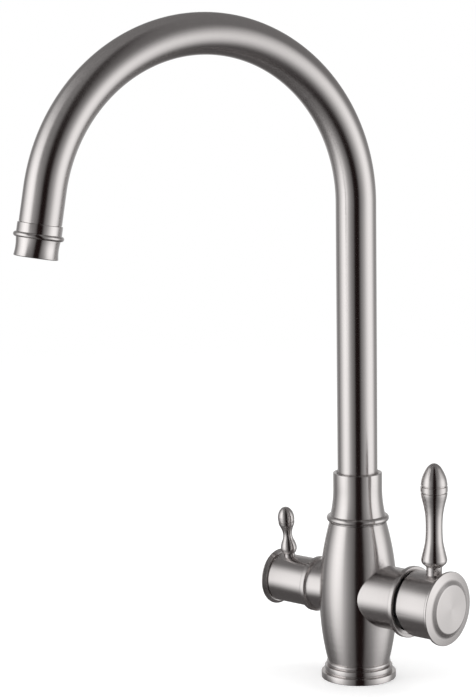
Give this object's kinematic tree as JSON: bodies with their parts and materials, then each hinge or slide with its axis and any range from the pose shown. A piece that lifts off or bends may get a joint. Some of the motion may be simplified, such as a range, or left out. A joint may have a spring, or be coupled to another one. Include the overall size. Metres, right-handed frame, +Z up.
{
  "type": "three-way kitchen tap",
  "caption": "Deck-mounted kitchen tap in brushed nickel with a hooped swivel spout, a mixer lever and a smaller lever for filtered drinking water.",
  "frame": {"origin": "centre of the foot ring's underside, where the tap stands on the deck", "axes": "+Z up along the barrel and the spout's riser, +X along the valve axis towards the mixer lever, -Y to the front. At rest, as in the picture, the spout points 19.6 degrees left of the front, the mixer lever stands upright and the filter lever leans 7 degrees to the front. Both valves are shut"},
  "size_m": [0.1596, 0.2404, 0.4186],
  "materials": {
    "brushed_nickel": "brushed",
    "brass": "machined",
    "rubber": "matt",
    "plastic": "moulded",
    "ceramic": "lapped",
    "plain_steel": "machined"
  },
  "bodies": {
    "tap_body": {"body_casting": "brushed_nickel", "base_ring": "brushed_nickel", "base_gasket": "rubber", "spout_collar": "brushed_nickel", "spout_glide_ring": "plastic", "spout_glide_washer": "plastic", "filter_tube_o_ring": "rubber", "cartridge_seals": "rubber", "cartridge_base": "plastic", "fixed_ceramic_disc": "ceramic", "cartridge_housing": "plastic", "cartridge_nut": "plain_steel", "filter_headwork_seal": "rubber", "filter_headwork": "brass", "filter_fixed_disc": "ceramic"},
    "spout": {"spout_tube": "brushed_nickel", "spout_foot": "brass", "spout_o_rings": "rubber", "outlet_nozzle": "brushed_nickel", "aerator_seal": "rubber", "aerator_housing": "plastic", "aerator_screen": "plain_steel", "filter_water_nozzle": "brass", "filter_water_tube": "plastic"},
    "cartridge_turning_part": {"cartridge_rotor": "plastic", "stem_pin": "plain_steel"},
    "cartridge_slider": {"disc_carrier": "plastic", "moving_ceramic_disc": "ceramic"},
    "main_lever": {"cartridge_stem": "plain_steel", "main_lever_hub": "brushed_nickel", "main_end_cap": "brushed_nickel", "main_lever_handle": "brushed_nickel", "main_lever_stud": "plain_steel", "main_set_screw": "plain_steel"},
    "filter_lever": {"filter_spindle": "brass", "filter_spindle_o_ring": "rubber", "filter_moving_disc": "ceramic", "filter_lever_hub": "brushed_nickel", "filter_end_cap": "brushed_nickel", "filter_lever_handle": "brushed_nickel", "filter_lever_stud": "plain_steel", "filter_set_screw": "plain_steel"}
  },
  "joints": [
    {"name": "spout_swivel", "type": "hinge", "parent": "tap_body", "child": "spout", "pos_m": [0, 0, 0.1], "axis": [0, 0, 1], "continuous": true},
    {"name": "mixer_temperature", "type": "hinge", "parent": "tap_body", "child": "cartridge_turning_part", "pos_m": [0.032, 0, 0.055], "axis": [1, 0, 0], "range_deg": [-50, 50]},
    {"name": "mixer_flow", "type": "hinge", "parent": "cartridge_turning_part", "child": "main_lever", "pos_m": [0.032, 0, 0.055], "axis": [0, 1, 0], "range_deg": [0, 14]},
    {"name": "disc_slide", "type": "slide", "parent": "cartridge_turning_part", "child": "cartridge_slider", "axis": [0, 0, 1], "range_m": [0, 0.00215]},
    {"name": "filter_lever_turn", "type": "hinge", "parent": "tap_body", "child": "filter_lever", "pos_m": [-0.04, 0, 0.055], "axis": [1, 0, 0], "range_deg": [0, 90]}
  ],
  "couplings": [
    {"joint": "disc_slide", "follows": "mixer_flow", "m_per_rad": 0.0086}
  ]
}
